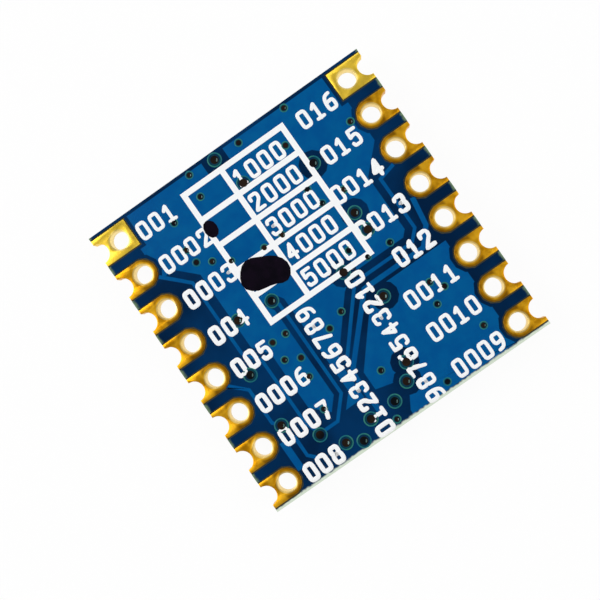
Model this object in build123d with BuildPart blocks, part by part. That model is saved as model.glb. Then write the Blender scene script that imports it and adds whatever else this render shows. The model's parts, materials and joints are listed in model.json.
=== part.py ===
"""A radio module on a small circuit board with plated half-holes along two of its edges.

Sizes are in millimetres. The module lies as it comes to rest, printed side up, on the flat
top of its largest chip. The origin is under the middle of the board, on that surface.
+X runs across the two columns of pads, and +Y along them towards pads 1 and 16.
"""

from build123d import *
import os

# Pads: each is a header hole and a half-hole in the board's edge, with a land on both faces
pads_per_side = 8
pad_pitch = 2.0
column_spacing = 13.25  # between the header holes of the two columns
edge_inset = 1.175  # from a header hole's axis to the board's edge
end_margin = 0.9  # from the last row's axis to the board's end
header_bore = 0.9
half_hole_bore = 1.0
barrel_wall = 0.025
header_ring = 0.25  # width of the land round a header hole
half_hole_ring = 0.2  # width of the land beside a half-hole
square_ring = 0.27  # width of the land round the header hole of a square pad
land_thickness = 0.04
tinned_land_thickness = 0.06  # a component's land with the solder on it

# Board
laminate_thickness = 0.8
foil_thickness = 0.035
mask_thickness = 0.05  # from the laminate to the top of the lacquer
foil_edge_gap = 0.15  # bare margin along the board's ends
foil_pad_gap = 0.2  # bare ring round a pad
mask_pad_gap = 0.07  # lacquer stands back from a land
fit = 0.01  # between a plated wall and the hole that it lines
column_strip = 1.75  # bare strip along each column of pads, from the board's edge
part_strip = 2.2  # the same on the hidden side
wall_flats = 8  # sides of a wall that nothing shows, and of a land on the hidden side
barrel_flats = 20  # sides of the plating's hidden wall in a round hole of the laminate
gap_flats = 12  # sides of a gap round a land
land_flats = 16  # sides of a land on the label side
via_flats = 6

# Tracks and plated vias
track_width = 0.22
wide_track_width = 0.3
track_gap = 0.2
via_radius = 0.22
via_gap = 0.45  # bare ring round a via that only passes through a pour

# Printed table and marker pen on the label side
ink_thickness = 0.015
table_line = 0.28
table_rows = 5
table_row_pitch = 1.462
table_left = -2.87
table_divider = -0.71
table_right = 2.82
table_top = 6.95
marker_thickness = 0.006

# Radio chip in a flat leadless package
chip_size = 6.0
chip_height = 0.9
chip_pins_per_side = 7
chip_corner_room = 1.05  # from the chip's corner to the middle of its first pin
chip_pin_width = 0.3
chip_pin_length = 0.55
chip_pin_height = 0.2
chip_pad_gap = 0.35  # from the pins' inner ends to the metal pad
chip_pad_key = 0.4  # cut corner that marks pin 1
chip_toe = 0.3  # land that shows outside the package
chip_track_straight = 0.35  # run of a track before it turns towards the chip

# Crystal in a metal-lidded package
crystal_length = 3.2
crystal_width = 2.5
crystal_base_height = 0.45
crystal_lid_height = 0.25
crystal_lid_margin = 0.2
crystal_corner_cut = 0.2
crystal_land = (1.1, 0.95)
crystal_terminal_height = 0.03

# Antenna switch with six gull-wing leads
switch_length = 2.0
switch_width = 1.25
switch_height = 0.75
switch_standoff = 0.06
switch_draft = 0.06
switch_lead_pitch = 0.65
switch_lead_width = 0.22
switch_lead_thickness = 0.12
switch_lead_reach = 0.42  # from the body's side to the toe
switch_foot = 0.22

# Chip components: length, width and height, and the length of each metal end
capacitor_size = (1.0, 0.5, 0.5)
inductor_size = (1.0, 0.5, 0.45)
resistor_size = (1.0, 0.5, 0.35)
end_cap_length = 0.25
land_overhang = 0.18  # land that shows past a component's end
land_side_margin = 0.03
solder_climb = 0.6  # share of a metal end's height that the solder climbs

# Heights of the layers, from the surface that the module lies on
part_face = chip_height + tinned_land_thickness
label_face = part_face + laminate_thickness
seat = part_face - tinned_land_thickness  # what the components stand on
board_width = column_spacing + 2 * edge_inset
board_length = (pads_per_side - 1) * pad_pitch + 2 * end_margin
edge_x = board_width / 2
column_x = column_spacing / 2
half_hole_land = half_hole_bore + 2 * half_hole_ring
chip_pad_size = chip_size - 2 * (chip_pin_length + chip_pad_gap)
chip_pin_pitch = (chip_size - 2 * chip_corner_room) / (chip_pins_per_side - 1)
pad_count = 2 * pads_per_side
pad_numbers = range(1, pad_count + 1)
crystal_land_spacing = (crystal_length - crystal_land[0], crystal_width - crystal_land[1])
switch_foot_spacing = switch_width + 2 * switch_lead_reach - switch_foot + land_overhang
square_pads = (1, pad_count)
mount_pads = (1, pads_per_side, pads_per_side + 1, pad_count)  # header holes stated as mounts

# The copper and the components are laid out on a grid of tenths of a millimetre
grid_x = column_spacing / 132.5
grid_y = pad_pitch / 20

# Bare areas of the label side, as corners on the grid
bare_areas = (
    ((-80, 43), (-53, 43), (-44, 34), (-44, -8), (-38, -16), (-38, -47), (-27, -58),
     (-7, -58), (9, -62), (4, -70), (1, -75), (1, -80), (-80, -80)),
    ((80, 39), (61, 39), (50, 28), (48, 26), (48, -4), (45, -7), (14, -7), (8, -12),
     (-13, -37), (-13, -58), (-7, -58), (-7, -48), (9, -29), (18, -19), (80, -19)),
    ((-13, 80), (-13, 71), (-1, 71), (-1, 80)),
)
# Bare areas of the hidden side, round the chip and the crowded corners
part_bare_areas = (
    ((-60, -48), (-41, -48), (-41, -31), (28, -31), (28, -3), (60, -3), (60, 80), (-45, 80),
     (-45, 62), (-60, 62)),
)
# Tracks inside the bare areas, as a width and points on the grid
tracks = (
    (track_width, ((-60, 44), (-49, 33), (-49, -8), (-43, -16), (-43, -52), (-40, -60))),
    (track_width, ((-63, -17), (-56, -24), (-56, -43), (-53, -46))),
    (track_width, ((-51, -55), (-51, -65), (-47, -69))),
    (track_width, ((60, 24), (52, 22), (52, -6), (47, -11), (14, -11), (-10, -39))),
    (wide_track_width, ((59, 5), (57, -8), (50, -16), (16, -16), (-11, -45), (-11, -66))),
)
# The long track crosses the pour, so a gap runs along both of its sides
crossing_track = ((-23, 4), (-21, 1), (-21, -50), (-30, -60), (-40, -60))
small_pour = ((-59, -53), (-55, -53), (-55, -69), (-59, -69))
via_places = (
    (-23, 4), (-7, 75), (30, 46), (33, 16), (-42, 6), (12, -4), (22, -24), (12, -55),
    (8, -63), (-40, -60),
)
isolated_vias = ((30, 46), (33, 16), (12, -4), (22, -24), (12, -55), (8, -63))

# Outlines of the felt pen's blot and of its small dot, on the grid
marker_blot = (
    (-22.5, 27.2), (-19.6, 26.8), (-16.8, 25.4), (-14.1, 24.0), (-11.5, 22.6), (-9.1, 20.7),
    (-7.3, 18.2), (-6.4, 15.3), (-6.7, 12.3), (-8.3, 9.7), (-11.0, 8.1), (-13.8, 8.4),
    (-16.6, 9.8), (-19.5, 10.7), (-22.4, 11.2), (-25.3, 11.9), (-27.9, 13.5), (-29.9, 15.9),
    (-30.4, 18.7), (-29.3, 21.6), (-27.5, 24.1), (-25.3, 26.1),
)
marker_dot = (
    (-23.9, 49), (-24.3, 51.3), (-25.6, 52.9), (-27.2, 53.5), (-28.9, 52.9), (-30.1, 51.3),
    (-30.5, 49), (-30.1, 46.8), (-28.9, 45.1), (-27.2, 44.5), (-25.6, 45.1), (-24.3, 46.8),
)

# Places of the components on the hidden side, on the grid
chip_place = (-6, 4)
crystal_place = (-13, -49)
switch_place = (34, 51)
# Each chip component: place, and whether it is turned along Y
capacitor_places = (
    ((-38, 48), False), ((-21, 48), False), ((-4, 48), False), ((-38, 60), False),
    ((13, 60), False), ((-38, -45), True), ((16, -43), True), ((-52, -60), True),
    ((16, -66), True), ((33, -60), False), ((34, 6), True), ((43, 8), True),
    ((30, 71), False), ((52, 8), True),
)
inductor_places = (
    ((34, 27), True), ((43, 27), True), ((52, 27), True), ((47, 71), False),
    ((-4, 60), False), ((13, 72), False),
)
resistor_places = (
    ((-21, 60), False), ((33, -72), False), ((33, -48), False), ((-21, 72), False),
)
component_kinds = ("capacitor", "inductor", "resistor")
chip_components = (
    (capacitor_places, capacitor_size),
    (inductor_places, inductor_size),
    (resistor_places, resistor_size),
)
# Pads whose tracks run to the chip, each with the row of its pin from the lower end
chip_nets = ((2, 6), (3, 5), (4, 4), (5, 3), (6, 2), (7, 1), (12, 2), (11, 1), (10, 0))
# Tracks of the antenna's path, on the grid
antenna_tracks = (
    ((28, 17), (34, 21)), ((34, 33), (43, 33)), ((43, 21), (52, 21)),
    ((28, 62), (24, 68)), ((36, 71), (41, 71)), ((53, 71), (59, 71)),
)
on_seat = (Align.CENTER, Align.CENTER, Align.MIN)


def on_grid(point):
    """A point of the layout, in millimetres."""
    return point[0] * grid_x, point[1] * grid_y


def all_on_grid(points):
    """Points of the layout, in millimetres."""
    return [on_grid(point) for point in points]


def pad_place(number):
    """The side and the row's place of a pad: 1 is at the upper left, the last at the upper right."""
    if number <= pads_per_side:
        side, row = -1, number - 1
    else:
        side, row = 1, pad_count - number
    return side, ((pads_per_side - 1) / 2 - row) * pad_pitch


def pad_centres(numbers, inset=0.0):
    """Points at the pads' rows, each set in from the board's edge."""
    return [
        (side * (edge_x - inset), y) for side, y in (pad_place(number) for number in numbers)
    ]


def land_outline(numbers, flats, grow=0.0, mode=Mode.ADD):
    """The faces of some lands, grown all round: square on the end pads, and else rounded."""
    square = [number for number in numbers if number in square_pads]
    others = [number for number in numbers if number not in square_pads]
    if square:
        side = header_bore + 2 * (square_ring + grow)
        with Locations(*pad_centres(square, (edge_inset + side / 2 - grow) / 2)):
            Rectangle(edge_inset + side / 2 + grow, side, mode=mode)
    if others:
        radius = header_bore / 2 + header_ring + grow
        with Locations(*pad_centres(others, edge_inset)):
            RegularPolygon(radius, flats, major_radius=False, rotation=180 / flats, mode=mode)
        with Locations(*pad_centres(others, (edge_inset - grow) / 2)):
            Rectangle(edge_inset + grow, half_hole_land + 2 * grow, mode=mode)


def pad_holes(numbers, mode=Mode.SUBTRACT):
    """The finished header holes and half-holes of some pads."""
    with Locations(*pad_centres(numbers, edge_inset)):
        Circle(header_bore / 2, mode=mode)
    with Locations(*pad_centres(numbers)):
        Circle(half_hole_bore / 2, mode=mode)


def drilled_holes(numbers, grow=0.0, mode=Mode.SUBTRACT):
    """The outer wall of the plating of some pads, which nothing shows, so it has flats.

    The laminate's holes grow by the fit, and are round where a mount is stated.
    """
    stated = [number for number in numbers if number in mount_pads]
    others = [number for number in numbers if number not in mount_pads]
    header_wall = header_bore / 2 + barrel_wall + grow
    half_hole_wall = half_hole_bore / 2 + barrel_wall + grow
    if stated:
        with Locations(*pad_centres(stated, edge_inset)):
            if grow:
                Circle(header_wall, mode=mode)
            else:
                RegularPolygon(header_wall, barrel_flats, major_radius=False, mode=mode)
    for walled, inset, wall in ((others, edge_inset, header_wall), (numbers, 0, half_hole_wall)):
        if walled:
            with Locations(*pad_centres(walled, inset)):
                RegularPolygon(
                    wall, wall_flats, major_radius=False, rotation=180 / wall_flats, mode=mode
                )


def make_pad(number):
    """One pad: its two lands, and the plating of its header hole and half-hole between them."""
    pads = [number]
    with BuildPart() as pad:
        with BuildSketch(Plane.XY.offset(part_face)):
            drilled_holes(pads, mode=Mode.ADD)
        extrude(amount=laminate_thickness)
        with BuildSketch(Plane.XY.offset(label_face)):
            land_outline(pads, land_flats)
        extrude(amount=land_thickness)
        with BuildSketch(Plane.XY.offset(part_face)):
            land_outline(pads, wall_flats)
        extrude(amount=-land_thickness)
        with BuildSketch(Plane.XY.offset(part_face - land_thickness)):
            pad_holes(pads, Mode.ADD)
            side, y = pad_place(number)
            with Locations((side * (edge_x + half_hole_land / 2), y)):
                Rectangle(half_hole_land, half_hole_land)
        extrude(amount=laminate_thickness + 2 * land_thickness, mode=Mode.SUBTRACT)
    return pad.part


def make_laminate():
    """The glass laminate, drilled for the pads and the vias."""
    with BuildPart() as laminate:
        with BuildSketch(Plane.XY.offset(part_face)):
            Rectangle(board_width, board_length)
            drilled_holes(pad_numbers, fit)
            with Locations(*all_on_grid(via_places)):
                RegularPolygon(via_radius + fit, via_flats, mode=Mode.SUBTRACT)
        extrude(amount=laminate_thickness)
    return laminate.part


def make_vias():
    """The plated vias, closed by the lacquer on both sides."""
    with BuildPart() as vias:
        with BuildSketch(Plane.XY.offset(part_face)):
            with Locations(*all_on_grid(via_places)):
                RegularPolygon(via_radius, via_flats)
        extrude(amount=laminate_thickness)
    return vias.part


def track_outline(width, points, mode=Mode.ADD):
    """A track of one width along points on the grid."""
    track_along(width, all_on_grid(points), mode)


def track_along(width, points, mode=Mode.ADD):
    """A track of one width along points in millimetres, mitred at its bends, with square ends."""
    places = [Vector(*point) for point in points]
    runs = [(end - start).normalized() for start, end in zip(places, places[1:])]
    places[0] -= runs[0] * (width / 2)
    places[-1] += runs[-1] * (width / 2)
    left, right = [], []
    for place, arriving, leaving in zip(places, [runs[0], *runs], [*runs, runs[-1]]):
        across = (arriving + leaving).rotate(Axis.Z, 90)
        across *= width / 2 / (1 + arriving.dot(leaving))
        left.append(place + across)
        right.append(place - across)
    Polygon(*left, *reversed(right), mode=mode)


def label_foil():
    """The copper of the label side, as a sketch: a pour with bare areas, and tracks in them."""
    with BuildSketch() as foil:
        Rectangle(board_width - 2 * column_strip, board_length - 2 * foil_edge_gap)
        for area in bare_areas:
            Polygon(*all_on_grid(area), mode=Mode.SUBTRACT)
        track_outline(track_width + 2 * track_gap, crossing_track, Mode.SUBTRACT)
        with Locations(*all_on_grid(isolated_vias)):
            RegularPolygon(via_radius + via_gap, gap_flats, mode=Mode.SUBTRACT)
        land_outline(pad_numbers, gap_flats, foil_pad_gap, Mode.SUBTRACT)
        track_outline(track_width, crossing_track)
        Polygon(*all_on_grid(small_pour))
        for width, points in tracks:
            track_outline(width, points)
        land_outline(pad_numbers, land_flats, fit, Mode.SUBTRACT)
    return foil.sketch


def chip_pins(length, width, outer, mode=Mode.ADD):
    """The faces of the chip's pins or of their lands, whose outer ends lie this far out."""
    with Locations(on_grid(chip_place)):
        with PolarLocations(outer - length / 2, 4):
            with GridLocations(1, chip_pin_pitch, 1, chip_pins_per_side):
                Rectangle(length, width, mode=mode)


def chip_pad(grow=0.0, mode=Mode.ADD):
    """The chip's bare metal pad, with the cut corner that marks pin 1."""
    half = chip_pad_size / 2 + grow
    with Locations(on_grid(chip_place)):
        Polygon(
            (-half, -half), (half, -half), (half, half), (chip_pad_key - half, half),
            (-half, half - chip_pad_key), mode=mode,
        )


def placed(places):
    """Where each component stands on its lands, with its own Z away from the board."""
    return [
        Location((*on_grid(place), seat), (180, 0, 90 if turned else 0))
        for place, turned in places
    ]


def flat_places(places):
    """The same places in a sketch of the board."""
    return [Location((*on_grid(place), 0), (0, 0, 90 if turned else 0)) for place, turned in places]


def windows():
    """The openings of the hidden side's lacquer: places, length and width of each kind."""
    margin = land_side_margin + mask_pad_gap
    chip_x, chip_y = on_grid(chip_place)
    row = (chip_pins_per_side - 1) * chip_pin_pitch + chip_pin_width + 2 * mask_pad_gap
    strip = chip_pin_length + chip_toe + 2 * mask_pad_gap
    strip_middle = (chip_size + chip_toe - chip_pin_length) / 2
    switch_x, switch_y = on_grid(switch_place)
    foot = switch_foot + land_overhang + 2 * mask_pad_gap
    feet = 2 * switch_lead_pitch + switch_lead_width + 2 * mask_pad_gap
    return [
        (flat_places(places), size[0] + 2 * (land_overhang + mask_pad_gap), size[1] + 2 * margin)
        for places, size in chip_components
    ] + [
        ([(chip_x - strip_middle, chip_y), (chip_x + strip_middle, chip_y)], strip, row),
        ([(chip_x, chip_y - strip_middle), (chip_x, chip_y + strip_middle)], row, strip),
        ([(chip_x, chip_y)], *[chip_pad_size + 2 * mask_pad_gap] * 2),
        (
            [on_grid(crystal_place)],
            crystal_length + 2 * (land_overhang + mask_pad_gap),
            crystal_width + 2 * (land_overhang + mask_pad_gap),
        ),
        (
            [(switch_x, switch_y + turn * switch_foot_spacing / 2) for turn in (-1, 1)],
            feet,
            foot,
        ),
    ]


def pin_row(count, pitch):
    """Places of one row of pins, from its middle."""
    return [(index - (count - 1) / 2) * pitch for index in range(count)]


def chip_tracks():
    """Tracks from some pads to the chip's side pins, each with one bend, as points in mm."""
    chip_x, chip_y = on_grid(chip_place)
    rows = pin_row(chip_pins_per_side, chip_pin_pitch)
    runs = []
    for number, row in chip_nets:
        side, y = pad_place(number)
        land_end = side * (column_x - header_bore / 2 - header_ring)
        toe = chip_x + side * (chip_size / 2 + chip_toe)
        bend = land_end - side * chip_track_straight
        runs.append([(land_end, y), (bend, y), (toe, chip_y + rows[row])])
    return runs


def part_foil():
    """The copper of the hidden side, as a sketch: a pour cut back round the components."""
    with BuildSketch() as foil:
        Rectangle(board_width - 2 * part_strip, board_length - 2 * foil_edge_gap)
        for area in part_bare_areas:
            Polygon(*all_on_grid(area), mode=Mode.SUBTRACT)
        for places, length, width in windows():
            with Locations(*places):
                Rectangle(length + foil_pad_gap, width + foil_pad_gap, mode=Mode.SUBTRACT)
        for run in chip_tracks():
            track_along(track_width + 2 * track_gap, run, Mode.SUBTRACT)
        for run in chip_tracks():
            track_along(track_width, run)
        for points in antenna_tracks:
            track_outline(wide_track_width, points)
        land_outline(pad_numbers, wall_flats, fit, Mode.SUBTRACT)
        component_lands(fit, Mode.SUBTRACT)
    return foil.sketch


def component_lands(grow=0.0, mode=Mode.ADD):
    """The lands of the hidden side's components, grown all round."""
    chip_pins(
        chip_pin_length + chip_toe + 2 * grow, chip_pin_width + 2 * grow,
        chip_size / 2 + chip_toe + grow, mode,
    )
    chip_pad(grow, mode)
    for places, size in chip_components:
        length = end_cap_length + land_overhang
        with Locations(*flat_places(places)):
            with GridLocations(size[0] + 2 * land_overhang - length, 1, 2, 1):
                Rectangle(
                    length + 2 * grow, size[1] + 2 * (land_side_margin + grow), mode=mode
                )
    with Locations(on_grid(crystal_place)):
        with GridLocations(*crystal_land_spacing, 2, 2):
            Rectangle(*[side + land_overhang + 2 * grow for side in crystal_land], mode=mode)
    with Locations(on_grid(switch_place)):
        with GridLocations(switch_lead_pitch, switch_foot_spacing, 3, 2):
            Rectangle(
                switch_lead_width + 2 * grow, switch_foot + land_overhang + 2 * grow, mode=mode
            )


def make_component_lands():
    """The lands that the components of the hidden side are soldered to."""
    with BuildPart() as lands:
        with BuildSketch(Plane.XY.offset(part_face)):
            component_lands()
        extrude(amount=-tinned_land_thickness)
    return lands.part


def make_chip_body():
    """The moulded body of the radio chip, with recesses that its metal fills."""
    with BuildPart() as body:
        with BuildSketch():
            with Locations(on_grid(chip_place)):
                Rectangle(chip_size, chip_size)
        extrude(amount=chip_height)
        with BuildSketch(Plane.XY.offset(chip_height)):
            chip_pins(chip_pin_length, chip_pin_width, chip_size / 2)
            chip_pad()
        extrude(amount=-chip_pin_height, mode=Mode.SUBTRACT)
    return body.part


def make_chip_pins():
    """The chip's terminals, flush with its side and its seat."""
    with BuildPart() as pins:
        with BuildSketch(Plane.XY.offset(chip_height)):
            chip_pins(chip_pin_length, chip_pin_width, chip_size / 2)
        extrude(amount=-chip_pin_height)
    return pins.part


def make_chip_pad():
    """The metal pad under the chip."""
    with BuildPart() as pad:
        with BuildSketch(Plane.XY.offset(chip_height)):
            chip_pad()
        extrude(amount=-chip_pin_height)
    return pad.part


def make_crystal_base():
    """The ceramic base of the crystal."""
    with BuildPart() as base:
        with Locations(*placed([(crystal_place, False)])):
            with Locations((0, 0, crystal_terminal_height)):
                Box(crystal_length, crystal_width, crystal_base_height, align=on_seat)
    return base.part


def make_crystal_lid():
    """The welded metal lid of the crystal."""
    with BuildPart() as lid:
        with Locations(*placed([(crystal_place, False)])):
            with Locations((0, 0, crystal_terminal_height + crystal_base_height)):
                Box(
                    crystal_length - 2 * crystal_lid_margin,
                    crystal_width - 2 * crystal_lid_margin,
                    crystal_lid_height,
                    align=on_seat,
                )
        chamfer(lid.edges().filter_by(Axis.Z), crystal_corner_cut)
    return lid.part


def make_crystal_terminals():
    """The four plated terminals under the crystal's base."""
    with BuildPart() as terminals:
        with Locations(*placed([(crystal_place, False)])):
            with GridLocations(*crystal_land_spacing, 2, 2):
                Box(*crystal_land, crystal_terminal_height, align=on_seat)
    return terminals.part


def make_switch_body():
    """The moulded body of the antenna switch, with sloping sides."""
    with BuildPart() as body:
        with Locations(*placed([(switch_place, False)])):
            with Locations((0, 0, switch_standoff)):
                Box(switch_length, switch_width, switch_height, align=on_seat)
        chamfer(body.faces().sort_by(Axis.Z)[0].edges(), switch_draft)
    return body.part


def make_switch_leads():
    """The gull-wing leads of the antenna switch."""
    middle = switch_standoff + switch_height / 2
    half = switch_lead_thickness / 2
    knee = switch_lead_reach - switch_foot
    with BuildPart(mode=Mode.PRIVATE) as lead:
        with BuildSketch(Plane.YZ):
            Polygon(
                (0, middle - half), (knee / 2 - half, middle - half), (knee - half, 0),
                (switch_lead_reach, 0), (switch_lead_reach, 2 * half), (knee + half, 2 * half),
                (knee / 2 + half, middle + half), (0, middle + half),
            )
        extrude(amount=switch_lead_width / 2, both=True)
    with BuildPart() as leads:
        with Locations(*placed([(switch_place, False)])):
            for turn in (0, 180):
                with Locations(Location((0, 0, 0), (0, 0, turn))):
                    with Locations(*[(x, switch_width / 2) for x in pin_row(3, switch_lead_pitch)]):
                        add(lead.part)
    return leads.part


def make_bodies(places, size):
    """The bodies of one kind of chip component, between their metal ends."""
    length, width, height = size
    with BuildPart() as bodies:
        with Locations(*placed(places)):
            Box(length - 2 * end_cap_length, width, height, align=on_seat)
    return bodies.part


def make_end_caps(places, size):
    """The metal ends of one kind of chip component."""
    length, width, height = size
    with BuildPart() as caps:
        with Locations(*placed(places)):
            with GridLocations(length - end_cap_length, 1, 2, 1):
                Box(end_cap_length, width, height, align=on_seat)
    return caps.part


def make_solder():
    """The solder that climbs the ends of the chip components."""
    with BuildPart() as solder:
        for places, (length, width, height) in chip_components:
            with BuildPart(mode=Mode.PRIVATE) as joint:
                with BuildSketch(Plane.XZ.offset(-width / 2)):
                    Polygon((0, 0), (land_overhang, 0), (0, solder_climb * height))
                extrude(amount=width)
            with Locations(*placed(places)):
                for turn in (0, 180):
                    with Locations(Location((0, 0, 0), (0, 0, turn))):
                        with Locations((length / 2, 0)):
                            add(joint.part)
    return solder.part


def make_foil(face, outward, foil):
    """The copper foil of one side."""
    with BuildPart() as copper:
        with BuildSketch(Plane.XY.offset(face)):
            add(foil)
        extrude(amount=outward * foil_thickness)
    return copper.part


def make_mask(face, outward, foil, flats, openings):
    """The lacquer of one side: it covers the foil, and leaves the lands open."""
    with BuildPart() as mask:
        with BuildSketch(Plane.XY.offset(face)):
            Rectangle(board_width, board_length)
            land_outline(pad_numbers, flats, mask_pad_gap, Mode.SUBTRACT)
            for places, width, length in openings:
                with Locations(*places):
                    Rectangle(width, length, mode=Mode.SUBTRACT)
        extrude(amount=outward * mask_thickness)
        with BuildSketch(Plane.XY.offset(face)):
            add(foil)
        extrude(amount=outward * foil_thickness, mode=Mode.SUBTRACT)
    return mask.part


def table_outline():
    """The printed table: its frame, its divider and the lines between its rows."""
    height = table_rows * table_row_pitch
    middle = (table_left + table_right) / 2
    with Locations((middle, table_top - height / 2)):
        Rectangle(table_right - table_left + table_line, height + table_line)
    for left, right in ((table_left, table_divider), (table_divider, table_right)):
        with Locations(*[
            ((left + right) / 2, table_top - (row + 0.5) * table_row_pitch)
            for row in range(table_rows)
        ]):
            Rectangle(
                right - left - table_line, table_row_pitch - table_line, mode=Mode.SUBTRACT
            )


def make_table():
    """The white ink of the printed table."""
    with BuildPart() as table:
        with BuildSketch(Plane.XY.offset(label_face + mask_thickness)):
            table_outline()
        extrude(amount=ink_thickness)
    return table.part


def make_marker():
    """Two marks of a felt pen, which cover the lacquer and the printed lines alike."""
    with BuildPart() as marker:
        with BuildSketch(Plane.XY.offset(label_face + mask_thickness)):
            Polygon(*all_on_grid(marker_blot))
            Polygon(*all_on_grid(marker_dot))
        extrude(amount=ink_thickness + marker_thickness)
        with BuildSketch(Plane.XY.offset(label_face + mask_thickness)):
            table_outline()
        extrude(amount=ink_thickness, mode=Mode.SUBTRACT)
    return marker.part


def save(part, label):
    """Names a finished piece and writes it."""
    part.label = label
    export_step(part, f"parts/{label}.step")


def main():
    """Builds every piece of the module."""
    os.makedirs("parts", exist_ok=True)
    save(make_laminate(), "substrate")
    save(make_vias(), "via_plating")
    for number in pad_numbers:
        save(make_pad(number), f"pad_{number:02}")
    save(make_foil(label_face, 1, label_foil()), "label_side_copper")
    save(make_mask(label_face, 1, label_foil(), gap_flats, ()), "label_side_mask")
    save(make_table(), "printed_table")
    save(make_marker(), "marker_ink")
    save(make_foil(part_face, -1, part_foil()), "part_side_copper")
    save(make_mask(part_face, -1, part_foil(), wall_flats, windows()), "part_side_mask")
    save(make_component_lands(), "component_lands")
    save(make_chip_body(), "radio_chip_body")
    save(make_chip_pins(), "radio_chip_pins")
    save(make_chip_pad(), "radio_chip_pad")
    save(make_crystal_base(), "crystal_base")
    save(make_crystal_lid(), "crystal_lid")
    save(make_crystal_terminals(), "crystal_terminals")
    save(make_switch_body(), "antenna_switch_body")
    save(make_switch_leads(), "antenna_switch_leads")
    for kind, (places, size) in zip(component_kinds, chip_components):
        save(make_bodies(places, size), f"{kind}_bodies")
        save(make_end_caps(places, size), f"{kind}_ends")
    save(make_solder(), "solder_joints")


main()
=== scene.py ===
"""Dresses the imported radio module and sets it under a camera, as in the photograph.

The module is a small blue circuit board with two columns of gold-plated pads. It lies printed
side up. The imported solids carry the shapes. This script rounds their edges, raises the lacquer
over the copper, adds the vias, the printed numbers and the packages' marks, and gives each
finish its material.
Lengths are named in millimetres and placed in metres.
"""

from __future__ import annotations

import json
import logging
import math
from contextlib import contextmanager
from dataclasses import dataclass, field
from enum import Enum
from typing import Iterable, Iterator, Sequence

import bpy
from mathutils import Matrix, Vector

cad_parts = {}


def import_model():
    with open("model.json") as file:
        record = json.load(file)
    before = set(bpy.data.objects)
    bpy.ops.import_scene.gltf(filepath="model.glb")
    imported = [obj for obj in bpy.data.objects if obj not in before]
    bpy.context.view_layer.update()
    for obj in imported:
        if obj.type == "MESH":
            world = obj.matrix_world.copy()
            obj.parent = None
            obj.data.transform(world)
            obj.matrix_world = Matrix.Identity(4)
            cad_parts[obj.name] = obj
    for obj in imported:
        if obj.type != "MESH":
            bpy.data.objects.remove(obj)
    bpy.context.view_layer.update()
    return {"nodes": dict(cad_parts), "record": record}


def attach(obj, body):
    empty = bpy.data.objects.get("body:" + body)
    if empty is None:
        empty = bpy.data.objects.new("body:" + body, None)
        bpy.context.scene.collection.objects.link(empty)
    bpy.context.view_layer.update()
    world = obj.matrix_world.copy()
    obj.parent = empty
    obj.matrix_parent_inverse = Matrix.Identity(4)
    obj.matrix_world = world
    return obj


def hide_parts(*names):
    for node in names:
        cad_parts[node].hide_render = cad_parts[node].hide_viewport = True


MM = 0.001
WELD_GAP = 0.0005 * MM
FLAT_ANGLE = math.radians(0.3)
LOG = logging.getLogger("module")

Colour = tuple[float, float, float]
Place = tuple[float, float, float]
Point = tuple[float, float]
Span = tuple[float, float]


class Layer(Enum):
    """Heights of the board's middle plane and the printed side's layers, in millimetres."""

    MIDDLE = 1.36
    LAMINATE = 1.76
    LACQUER = 1.81
    LACQUER_OVER_COPPER = 1.818


def linear(red: int, green: int, blue: int) -> Colour:
    """Turns a colour written as it shows on a screen into light values.

    Args:
        red: From 0 to 255, as are the others.
        green: The same.
        blue: The same.

    Returns:
        The three light values.
    """
    values = (channel / 255 for channel in (red, green, blue))
    return tuple(v / 12.92 if v <= 0.04045 else ((v + 0.055) / 1.055) ** 2.4 for v in values)


# Handling of objects


def pick(*objects: bpy.types.Object) -> None:
    """Selects these objects alone and makes the first one active.

    Args:
        objects: What the next operator works on.
    """
    bpy.ops.object.select_all(action="DESELECT")
    for obj in objects:
        obj.select_set(True)
    bpy.context.view_layer.objects.active = objects[0]


@contextmanager
def editing(obj: bpy.types.Object, mode: str = "FACE", everything: bool = True) -> Iterator[None]:
    """Goes into edit mode on one object, and leaves it at the end of the block.

    Args:
        obj: The object.
        mode: What is selected there: VERT, EDGE or FACE.
        everything: Whether all of it is selected first.

    Yields:
        Nothing.
    """
    pick(obj)
    bpy.ops.object.mode_set(mode="EDIT")
    bpy.ops.mesh.select_mode(type=mode)
    if everything:
        bpy.ops.mesh.select_all(action="SELECT")
    yield
    bpy.ops.object.mode_set(mode="OBJECT")


def place_in_mesh(obj: bpy.types.Object) -> None:
    """Moves an object's place, turn and scale into its mesh.

    Args:
        obj: The object.
    """
    pick(obj)
    bpy.ops.object.transform_apply(location=True, rotation=True, scale=True)


def smooth(obj: bpy.types.Object, degrees: float = 60.0) -> None:
    """Smooths the faces of an object that meet at less than an angle.

    Args:
        obj: The object.
        degrees: The angle.
    """
    pick(obj)
    bpy.ops.object.shade_smooth_by_angle(angle=math.radians(degrees))


def joined(name: str, pieces: Sequence[bpy.types.Object]) -> bpy.types.Object:
    """Joins pieces into one object.

    Args:
        name: The name of the whole.
        pieces: The parts, which end in the first of them.

    Returns:
        The joined object.
    """
    pick(*pieces)
    if len(pieces) > 1:
        bpy.ops.object.join()
    whole = bpy.context.view_layer.objects.active
    whole.name = whole.data.name = name
    return whole


def wear(obj: bpy.types.Object, *materials: bpy.types.Material) -> None:
    """Gives an object its materials, in the order of its slots.

    Args:
        obj: The object.
        materials: One material a slot.
    """
    slots = obj.data.materials
    while len(slots) < len(materials):
        slots.append(None)
    for index, material in enumerate(materials):
        slots[index] = material


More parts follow.
